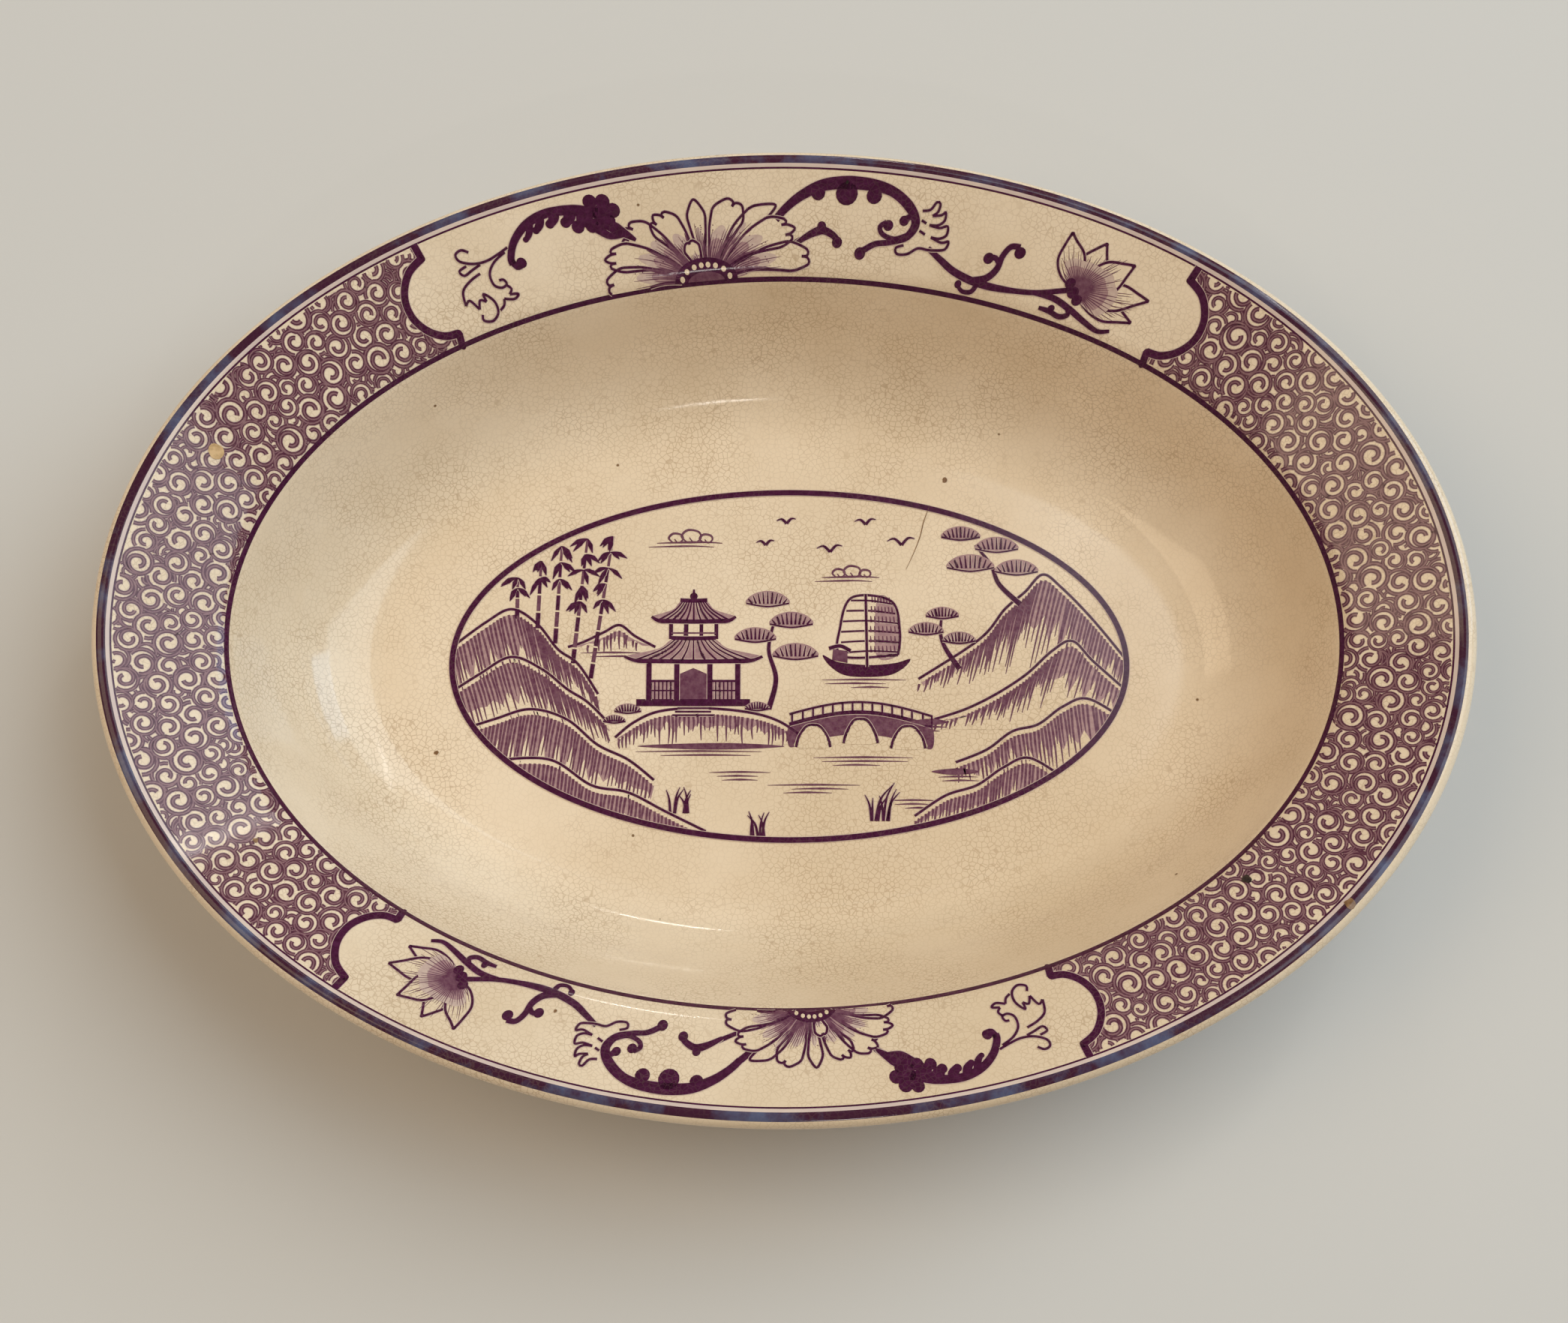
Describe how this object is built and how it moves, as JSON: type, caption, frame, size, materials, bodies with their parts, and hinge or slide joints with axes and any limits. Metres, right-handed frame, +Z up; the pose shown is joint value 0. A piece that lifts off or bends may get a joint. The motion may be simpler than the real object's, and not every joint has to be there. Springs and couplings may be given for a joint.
{
  "type": "oval serving dish",
  "caption": "Oval earthenware serving dish with a broad sloping rim, rounded lip, curved well, flat floor and low foot, under a cream glaze with a purple printed border and scene.",
  "frame": {"origin": "middle of the standing face of the foot", "axes": "+X along the dish, +Y across it, +Z up out of the well"},
  "size_m": [0.254, 0.185, 0.042],
  "materials": {
    "clay": "matte",
    "foot_clay": "matte",
    "cream_glaze": "gloss",
    "base_glaze": "gloss"
  },
  "bodies": {
    "root": {"clay_body": "clay", "foot_ring": "foot_clay", "glaze_coat": "cream_glaze", "base_glaze": "base_glaze"}
  },
  "joints": []
}
